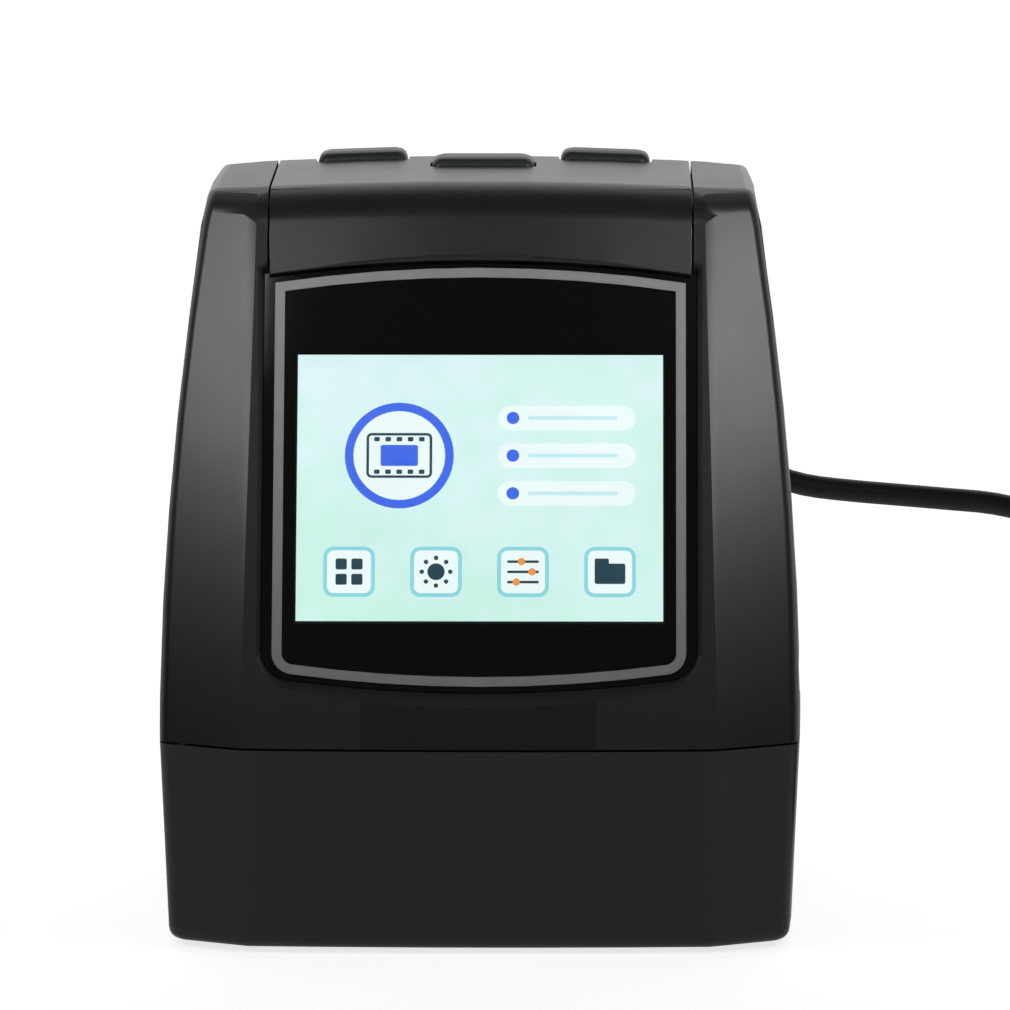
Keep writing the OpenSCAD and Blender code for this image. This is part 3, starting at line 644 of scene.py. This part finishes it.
def shell(node, slot):
    """A CAD shell with its edges rounded, and polished a little there by handling."""
    piece = copy_of(node, node + "_rounded")
    coat_piece(piece, slot, "shell_edge")
    closed = close_short_edges(piece)
    creases = round_edges(piece, crease_width, CREASE_SEGMENTS, slot=EDGE_SLOT)
    rims = round_edges(piece, rim_width, RIM_SEGMENTS, slot=EDGE_SLOT)
    if node == "front_shell":
        print("faces of the pocket:", darken_pocket(piece))
    smooth_shading(piece)
    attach(piece, BODY)
    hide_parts(node)
    top = max(vertex.co.z for vertex in piece.data.vertices) / MM
    print(node, "creases:", creases, "rims:", rims, "short edges closed:", closed,
          "faces:", len(piece.data.polygons), "top in mm:", round(top, 2))


for node, slot in zip(SHELLS, ("shell_black", "shell_black", "shell_black", "panel_black")):
    shell(node, slot)

# %% [markdown]
# ## Buttons, plugs and small parts
#
# A button already has the form of a soft pillow, so its last edges are only broken a little.
# Grips are held, so they are the roundest. Stamped and turned metal has a fine edge, broken by
# a tenth of a millimetre. Round parts, such as the strain relief, the screws and the lens barrel,
# also get smooth shading, which hides the facets round them. The same steps serve them all, with
# a width for each.

# %% Small parts with rounded or smooth surfaces
SOFT_SEGMENTS = 3
SHARP, PILLOW = 50, 30
LEAST_SMOOTH = 35


def softened(node, body, width, angle):
    """A copy of a CAD piece, its convex edges over an angle in degrees rounded by a width in mm."""
    slot = next(p["material_slot"] for p in frame["record"]["subparts"] if p["node"] == node)
    piece = copy_of(node, node + "_soft")
    coat_piece(piece, slot)
    if width:
        sharp = math.radians(angle)
        round_edges(piece, lambda edge: width if edge.calc_face_angle(0) > sharp else 0,
                    SOFT_SEGMENTS)
    smooth_shading(piece, max(angle, LEAST_SMOOTH))
    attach(piece, body)
    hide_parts(node)
    return piece


for side in ("left", "middle", "right"):
    softened("button_" + side, side + "_button", 0.15, PILLOW)
    softened("plunger_" + side, side + "_button", 0.1, SHARP)
for node, width in (
    ("plug_grip", 0.35), ("end_grip", 0.35), ("plug_contact", 0.12), ("end_contact", 0.12),
    ("strain_relief", 0.12), ("end_relief", 0.12), ("cable_tie", 0.15), ("rubber_feet", 0.2),
    ("housing_screws", 0.08), ("base_screws", 0.08), ("guide_screws", 0.08),
    ("lens_barrel", 0.15), ("lens_elements", 0), ("video_jack", 0.1), ("usb_socket", 0.08),
    ("card_socket", 0.08),
):
    softened(node, BODY, width, SHARP)

# %% [markdown]
# ## What belongs to the cable
#
# The plug in the socket, its grip and its strain relief sit at one end of the cable. The tie holds
# the coil, and the other plug with its grip and relief sits at the far end.

# %% [markdown]
# ## The window
#
# The real window is clear acrylic with black paint on its back, except over the screen. Two
# plates could be modelled, one clear and one painted, but they would lie in one another. Here the
# same plate is cut along the edges of the screen's opening, and the faces inside that rectangle
# become clear, on the front and on the back. The rest of the plate is glossy black. A bisect
# cuts all the way across, so four of them leave the rectangle.

# %% Cut the window's plate and make the part over the screen clear
CLEAR_SLOT = 1
window = copy_of("window_lens", "window_plate")
OPENING = {"left": -24.75, "right": 24.75, "low": -19.45, "high": 17.75}
select_only(window)
bpy.ops.object.mode_set(mode="EDIT")
for edge, at in OPENING.items():
    upright = edge in ("left", "right")
    point = on_face(at if upright else 0, 0 if upright else at, 0)
    normal = Vector((1, 0, 0)) if upright else Vector((0, math.sin(LEAN), math.cos(LEAN)))
    bpy.ops.mesh.select_all(action="SELECT")
    bpy.ops.mesh.bisect(plane_co=point, plane_no=normal)
bpy.ops.object.mode_set(mode="OBJECT")
coat_piece(window, "window_black", "clear_acrylic")
for face in window.data.polygons:
    x, v, w = face_place(face.center)
    if OPENING["left"] < x < OPENING["right"] and OPENING["low"] < v < OPENING["high"]:
        face.material_index = CLEAR_SLOT
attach(window, BODY)
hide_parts("window_lens")
print("clear faces:", sum(f.material_index == CLEAR_SLOT for f in window.data.polygons))

# %% [markdown]
# ## The lit screen
#
# A screen makes its own light, so its picture is an Emission Color on a dark surface. The picture
# is a plain menu of its own: a pale background with slow waves, a ring with a film frame in it,
# three empty bars, and a row of four tiles with simple signs. Each part of the picture is a sheet
# 0.02 mm thick, and the sheets lie in layers on the panel.

# %% Colours of the picture
SCREEN_LIGHT = 1.06
PANEL_DARK, PANEL_ROUGH = 0.01, 0.35
BACKLIGHT_SCALE, BACKLIGHT_UNEVEN = 60, 0.10


def srgb(red, green, blue):
    """Scene colour of a colour that is written as 0 to 255."""
    def to_linear(c):
        c /= 255
        return c / 12.92 if c <= 0.04045 else ((c + 0.055) / 1.055) ** 2.4
    return (to_linear(red), to_linear(green), to_linear(blue))


def build_backlight_group():
    """The lamps behind a screen never light it quite evenly."""
    group, given, result = new_group(
        "backlight", [("Colour", (0.5, 0.5, 0.5, 1.0))], [("Colour", "NodeSocketColor")],
    )
    place = group.nodes.new("ShaderNodeTexCoord").outputs["Object"]
    even = group.nodes.new("ShaderNodeHueSaturation")
    group.links.new(given.outputs["Colour"], even.inputs["Color"])
    group.links.new(reckon(group, "MULTIPLY_ADD", noise(group, place, BACKLIGHT_SCALE, 1),
                           BACKLIGHT_UNEVEN, 1 - BACKLIGHT_UNEVEN / 2), even.inputs["Value"])
    group.links.new(even.outputs["Color"], result.inputs["Colour"])
    return group


BACKLIGHT = build_backlight_group()


def ink(name, red, green, blue):
    """A glowing colour of the picture."""
    material = bpy.data.materials.new(name)
    material.use_nodes = True
    nodes, links = material.node_tree.nodes, material.node_tree.links
    shader = nodes["Principled BSDF"]
    shader.inputs["Base Color"].default_value = (PANEL_DARK, PANEL_DARK, PANEL_DARK, 1)
    shader.inputs["Roughness"].default_value = PANEL_ROUGH
    shader.inputs["Emission Strength"].default_value = SCREEN_LIGHT
    light = nodes.new("ShaderNodeGroup")
    light.node_tree = BACKLIGHT
    light.inputs["Colour"].default_value = (*srgb(red, green, blue), 1)
    links.new(light.outputs["Colour"], shader.inputs["Emission Color"])
    return material


INKS = {
    "blue": ink("screen_blue", 58, 104, 232),
    "teal": ink("screen_teal", 26, 62, 74),
    "pale": ink("screen_pale", 236, 251, 251),
    "cyan": ink("screen_cyan", 138, 214, 224),
    "sky": ink("screen_sky", 196, 236, 240),
    "orange": ink("screen_orange", 240, 150, 60),
    "mint": ink("screen_mint", 210, 243, 238),
}
print("colours of the picture:", ", ".join(INKS))

# %% [markdown]
# The background of the picture has slow diagonal waves, and it turns from a cool tint at the top
# to a greener one at the bottom. A wave texture on Object coordinates mixes the two tints, and the
# height on the panel moves the balance. Nothing has to be painted by hand.

# %% A waving background
PANEL_LOW, PANEL_HIGH = 0.045, 0.079
WAVE_SCALE, WAVE_DISTORTION, WAVE_SHARE = 9, 2.5, 0.45
mint = INKS["mint"].node_tree
place = mint.nodes.new("ShaderNodeTexCoord").outputs["Object"]
waves = mint.nodes.new("ShaderNodeTexWave")
waves.wave_type = "BANDS"
waves.bands_direction = "DIAGONAL"
waves.inputs["Scale"].default_value = WAVE_SCALE
waves.inputs["Distortion"].default_value = WAVE_DISTORTION
waves.inputs["Detail"].default_value = 0
waves.inputs["Detail Scale"].default_value = 30
mint.links.new(place, waves.inputs["Vector"])
height = mint.nodes.new("ShaderNodeSeparateXYZ")
mint.links.new(place, height.inputs[0])
up_panel = mint.nodes.new("ShaderNodeMapRange")
up_panel.inputs["From Min"].default_value = PANEL_LOW
up_panel.inputs["From Max"].default_value = PANEL_HIGH
mint.links.new(height.outputs["Z"], up_panel.inputs["Value"])
balance = reckon(mint, "MULTIPLY_ADD", waves.outputs["Fac"], WAVE_SHARE,
                 reckon(mint, "MULTIPLY", up_panel.outputs["Result"], 1 - WAVE_SHARE))
tones = mint.nodes.new("ShaderNodeValToRGB")
tones.color_ramp.elements[0].color = (*srgb(200, 243, 230), 1)
tones.color_ramp.elements[1].color = (*srgb(222, 246, 248), 1)
mint.links.new(balance, tones.inputs["Fac"])
light = next(node for node in mint.nodes if node.type == "GROUP")
mint.links.new(tones.outputs["Color"], light.inputs["Colour"])
print("background's nodes:", len(mint.nodes))

# %% [markdown]
# The picture could be one plane with a drawn image, but then its shapes would blur up close. Each
# shape is a thin sheet instead, with a clean edge at any distance. It starts as a square or a
# disc that lies on the leaning panel. Its corners are rounded with a bevel, a rim is cut with an
# inset, and an extrude gives it its thickness. A sheet that repeats is modelled once, and each
# copy gets its own mesh. The place is applied, so that every piece's object sits at the origin.

# %% Sheets of the picture
SCREEN_W = -5.37  # the panel's face, behind the front
SHEET, LAYER_STEP = 0.02, 0.03
DISC_SIDES, CORNER_SEGMENTS = 48, 6
OUT = Vector((0, -math.cos(LEAN), math.sin(LEAN)))


def sheet(name, x, v, size, layer, colour, corner=0.0, rim=0.0, disc=False):
    """A sheet of the picture, size in mm: a rounded rectangle or a disc, or only its rim."""
    bpy.ops.object.select_all(action="DESELECT")
    place = on_face(x, v, SCREEN_W + LAYER_STEP * layer)
    facing = (math.pi / 2 - LEAN, 0, 0)
    if disc:
        bpy.ops.mesh.primitive_circle_add(vertices=DISC_SIDES, radius=MM / 2, fill_type="NGON",
                                          location=place, rotation=facing)
    else:
        bpy.ops.mesh.primitive_plane_add(size=MM, location=place, rotation=facing)
    piece = bpy.context.object
    piece.name = name
    piece.scale = (size[0], size[1], 1)
    bpy.ops.object.transform_apply(location=True, rotation=True, scale=True)
    bpy.ops.object.mode_set(mode="EDIT")
    bpy.ops.mesh.select_all(action="SELECT")
    if corner:
        bpy.ops.mesh.bevel(offset=corner * MM, segments=CORNER_SEGMENTS, affect="VERTICES")
    if rim:
        bpy.ops.mesh.inset(thickness=rim * MM, depth=0)
        bpy.ops.mesh.delete(type="FACE")
        bpy.ops.mesh.select_all(action="SELECT")
    bpy.ops.mesh.extrude_region_move(TRANSFORM_OT_translate={"value": OUT * SHEET * MM})
    bpy.ops.mesh.select_all(action="SELECT")
    bpy.ops.mesh.normals_make_consistent(inside=False)
    bpy.ops.object.mode_set(mode="OBJECT")
    piece.data.materials.append(INKS[colour])
    return piece


def copies(piece, shifts):
    """The piece and its copies, each copy with its own mesh, moved by x and v in mm."""
    made = [piece]
    for dx, dv in shifts:
        twin = piece.copy()
        twin.data = piece.data.copy()
        bpy.context.collection.objects.link(twin)
        twin.location = on_face(dx, dv, 0) - on_face(0, 0, 0)
        select_only(twin)
        bpy.ops.object.transform_apply(location=True, rotation=False, scale=False)
        made.append(twin)
    return made


def joined(name, pieces):
    """Several sheets as one piece that rides on the body."""
    select_only(pieces[0])
    for piece in pieces:
        piece.select_set(True)
    if len(pieces) > 1:
        bpy.ops.object.join()
    piece = bpy.context.view_layer.objects.active
    piece.name = name
    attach(piece, BODY)


# %% [markdown]
# The left half of the menu shows what the scanner is for: a piece of film in a ring. The film's
# edge is a rim with rounded corners, its picture is a plain rectangle, and one perforation is
# copied into two rows of five.

# %% Background, ring and film frame
LIT = (48.96, 36.72)
RING_X, RING_V, RING_D = -10.8, 4.4, 14.6
DISC_D = RING_D - 2.5
FILM, FILM_PICTURE = (8.8, 6.2), (5.0, 2.9)
HOLE, HOLES, HOLE_STEP, HOLE_ROWS = (0.75, 0.6), 5, 1.5, 4.5
joined("screen_background", [sheet("background", 0, 0, LIT, 0, "mint")])
joined("screen_ring", [
    sheet("ring", RING_X, RING_V, (RING_D, RING_D), 1, "blue", rim=1.15, disc=True),
    sheet("ring_disc", RING_X, RING_V, (DISC_D, DISC_D), 1, "pale", disc=True),
])
perforation = sheet("perforation", RING_X - HOLE_STEP * (HOLES - 1) / 2, RING_V - HOLE_ROWS / 2,
                    HOLE, 2, "teal", corner=0.15)
perforations = copies(perforation, [
    (HOLE_STEP * i, HOLE_ROWS * row) for row in (0, 1) for i in range(HOLES) if i or row
])
joined("screen_film_frame", [
    sheet("film_edge", RING_X, RING_V, FILM, 2, "teal", corner=0.7, rim=0.35),
    sheet("film_picture", RING_X, RING_V, FILM_PICTURE, 2, "blue", corner=0.3),
] + perforations)
print("perforations:", len(perforations))

# %% [markdown]
# On the right, three bars balance the ring. Each one has round ends, a dot and a thin line. The
# lowest is modelled first, piece by piece, and each piece is copied upwards twice.

# %% Three empty bars with their dots
BAR_X, BAR_V, BAR_STEP = 11.6, -0.8, 5.2
BAR, DOT, LINE = (18.4, 3.4), (1.7, 1.7), (12.0, 0.5)
DOT_X, LINE_X = BAR_X - 7.2, BAR_X + 0.8
upwards = [(0, BAR_STEP), (0, 2 * BAR_STEP)]
bars = copies(sheet("bar", BAR_X, BAR_V, BAR, 1, "pale", corner=1.6), upwards)
bars += copies(sheet("dot", DOT_X, BAR_V, DOT, 2, "blue", disc=True), upwards)
bars += copies(sheet("line", LINE_X, BAR_V, LINE, 2, "sky", corner=0.2), upwards)
joined("screen_bars", bars)
print("sheets in the bars:", len(bars))

# %% [markdown]
# The row at the bottom is four tiles, each a pale square in a rim, with a sign on it. One tile is
# modelled and copied to the right. A sign is made of one or two simple shapes and their copies.

# %% Four tiles
TILE, TILE_FACE, TILE_V = 6.9, 5.8, -11.6
TILE_X = (-17.4, -5.8, 5.8, 17.4)
to_the_right = [(x - TILE_X[0], 0) for x in TILE_X[1:]]
rims = copies(sheet("tile_rim", TILE_X[0], TILE_V, (TILE, TILE), 1, "cyan", corner=1.4, rim=0.5),
              to_the_right)
tiles = copies(sheet("tile", TILE_X[0], TILE_V, (TILE_FACE, TILE_FACE), 1, "pale", corner=0.9),
               to_the_right)
joined("screen_tiles", rims + tiles)
print("tiles:", len(tiles))

# %% Signs on the tiles: a grid, a sun, sliders and a folder
SQUARE_STEP, SLIDER_STEP = 2.1, 1.4
square = sheet("square", TILE_X[0] - SQUARE_STEP / 2, TILE_V - SQUARE_STEP / 2, (1.5, 1.5), 2,
               "teal", corner=0.25)
joined("screen_sign_grid", copies(square, [(SQUARE_STEP, 0), (0, SQUARE_STEP),
                                           (SQUARE_STEP, SQUARE_STEP)]))

SUN_RAYS, RAY_AT = 8, 1.9
beads = [
    (RAY_AT * (math.cos(turn) - 1), RAY_AT * math.sin(turn))
    for turn in (2 * math.pi * i / SUN_RAYS for i in range(1, SUN_RAYS))
]
ray = sheet("ray", TILE_X[1] + RAY_AT, TILE_V, (0.6, 0.6), 2, "teal", disc=True)
joined("screen_sign_sun", copies(ray, beads) + [
    sheet("sun", TILE_X[1], TILE_V, (2.3, 2.3), 2, "teal", disc=True),
])

slider = sheet("slider", TILE_X[2], TILE_V - SLIDER_STEP, (4.2, 0.35), 2, "teal", corner=0.12)
knob = sheet("knob", TILE_X[2] - 0.9, TILE_V - SLIDER_STEP, (1.0, 1.0), 3, "orange", disc=True)
joined("screen_sign_sliders", copies(slider, [(0, SLIDER_STEP), (0, 2 * SLIDER_STEP)])
       + copies(knob, [(2.1, SLIDER_STEP), (0.7, 2 * SLIDER_STEP)]))

joined("screen_sign_folder", [
    sheet("folder_tab", TILE_X[3] - 1.1, TILE_V + 1.35, (1.9, 1.0), 2, "teal", corner=0.25),
    sheet("folder", TILE_X[3], TILE_V - 0.25, (4.1, 2.8), 3, "teal", corner=0.3),
])

# %% [markdown]
# ## Floor and light
#
# Black plastic shows mostly what it reflects, so the room matters more here than the lamps. The
# picture has a white background, but a white room all round would turn the plastic grey. Light
# Path tells the two apart: what the camera looks at is white, and what the plastic mirrors is a
# room that is bright behind the object and dim in front and overhead. The floor is a plain pale
# sheet, and it keeps the object's shadow.

# %% What the camera looks at
def looked_at(tree):
    """1 for rays that come straight from the camera, or from it through clear parts alone."""
    rays = tree.nodes.new("ShaderNodeLightPath").outputs
    bounces = reckon(tree, "ADD", rays["Diffuse Depth"], rays["Glossy Depth"])
    straight = reckon(tree, "LESS_THAN", bounces, 0.5)
    through = reckon(tree, "MULTIPLY", rays["Is Transmission Ray"], straight)
    return reckon(tree, "MAXIMUM", rays["Is Camera Ray"], through)


# %% Floor
FLOOR_SIZE, FLOOR_DROP = 30, 0.0002
PAPER_TONE, PAPER_TONE_SEEN = 0.5, 0.88
PAPER_LIFT_SEEN, PAPER_LIFT_MIRRORED = 0.76, 0.35
bpy.ops.mesh.primitive_plane_add(size=FLOOR_SIZE, location=(0, 0, -FLOOR_DROP))
floor = bpy.context.object
floor.name = "floor"
floor_paper = bpy.data.materials.new("floor_paper")
floor_paper.use_nodes = True
nodes, links = floor_paper.node_tree.nodes, floor_paper.node_tree.links
paper = nodes["Principled BSDF"]
paper.inputs["Roughness"].default_value = 0.9
paper.inputs["Specular IOR Level"].default_value = 0.1
paper.inputs["Emission Color"].default_value = (1, 1, 1, 1)
seen = looked_at(floor_paper.node_tree)
paper_tone = reckon(floor_paper.node_tree, "MULTIPLY_ADD", seen, PAPER_TONE_SEEN - PAPER_TONE,
                    PAPER_TONE)
links.new(paper_tone, paper.inputs["Base Color"])
mirrored = nodes.new("ShaderNodeLightPath").outputs["Is Glossy Ray"]
lift = reckon(floor_paper.node_tree, "MULTIPLY_ADD", seen, PAPER_LIFT_SEEN,
              reckon(floor_paper.node_tree, "MULTIPLY", mirrored, PAPER_LIFT_MIRRORED))
links.new(lift, paper.inputs["Emission Strength"])
floor.data.materials.append(floor_paper)
print("floor:", FLOOR_SIZE, "m wide")

# %% [markdown]
# The world is the rest of the room. Its strength follows the direction's Y with a smooth step,
# from dim before the object to white behind it, so that edges that turn away pick up a pale rim.

# %% World
DIM_ROOM, WHITE_BACKDROP = 0.085, 1.0
DIM_BEFORE, WHITE_BEHIND = 0.1, 0.8
world = bpy.context.scene.world or bpy.data.worlds.new("world")
bpy.context.scene.world = world
world.use_nodes = True
nodes, links = world.node_tree.nodes, world.node_tree.links
nodes.clear()
way = nodes.new("ShaderNodeTexCoord")
axes = nodes.new("ShaderNodeSeparateXYZ")
links.new(way.outputs["Generated"], axes.inputs[0])
behind = nodes.new("ShaderNodeMapRange")
behind.interpolation_type = "SMOOTHSTEP"
behind.inputs["From Min"].default_value = DIM_BEFORE
behind.inputs["From Max"].default_value = WHITE_BEHIND
behind.inputs["To Min"].default_value = DIM_ROOM
behind.inputs["To Max"].default_value = WHITE_BACKDROP
links.new(axes.outputs["Y"], behind.inputs["Value"])
whiter = reckon(world.node_tree, "MAXIMUM", behind.outputs["Result"], looked_at(world.node_tree))
background = nodes.new("ShaderNodeBackground")
background.inputs["Color"].default_value = (1, 1, 1, 1)
output = nodes.new("ShaderNodeOutputWorld")
links.new(whiter, background.inputs["Strength"])
links.new(background.outputs["Background"], output.inputs["Surface"])
print("room:", DIM_ROOM, "in front,", WHITE_BACKDROP, "behind")

# %% [markdown]
# Two soft lamps stand close by, at the left and the right. Each one's place comes from a mirror
# rule: it stands where the corner facet mirrors it to the camera, so its reflection is the long
# highlight on that facet. Two smaller ones light the brow over the window, from places that the
# window doesn't mirror. All four aim at a spot on the object and stay unseen themselves.

# %% Lamps
FACET_SPOT = Vector((34, -25, 88)) * MM
WAY_TO_LAMP, LAMP_DISTANCE = Vector((0.756, -0.464, 0.463)), 0.1
FACET_LAMP_SIZE, FACET_LAMP_SPREAD = (0.06, 0.045), 75
BROW_LAMP_X, BROW_LAMP_Y, BROW_LAMP_Z = 0.050, -0.145, 0.189
BROW_LAMP_SIZE, BROW_LAMP_SPREAD = (0.03, 0.03), 90
BROW_Y, BROW_Z = -0.016, 0.095


def lamp(name, place, target, size, power, spread):
    """A soft lamp that shines at a point, and that the camera doesn't see."""
    bpy.ops.object.light_add(type="AREA", location=place)
    light = bpy.context.object
    light.name = name
    light.data.shape = "RECTANGLE"
    light.data.size, light.data.size_y = size
    light.data.energy = power
    light.data.spread = math.radians(spread)
    light.visible_camera = False
    way = Vector(target) - Vector(place)
    light.rotation_mode = "QUATERNION"
    light.rotation_quaternion = way.to_track_quat("-Z", "Y")


for name, side, power in (("left_lamp", -1, 0.0108), ("right_lamp", 1, 0.0125)):
    to_side = Vector((side, 1, 1))
    spot = FACET_SPOT * to_side
    lamp(name, spot + WAY_TO_LAMP * to_side * LAMP_DISTANCE, spot, FACET_LAMP_SIZE, power,
         FACET_LAMP_SPREAD)
for name, side, power in (("left_brow_lamp", -1, 0.0048), ("right_brow_lamp", 1, 0.0040)):
    x = side * BROW_LAMP_X
    lamp(name, (x, BROW_LAMP_Y, BROW_LAMP_Z), (x / 2, BROW_Y, BROW_Z), BROW_LAMP_SIZE, power,
         BROW_LAMP_SPREAD)
bpy.context.scene.view_settings.view_transform = "Standard"
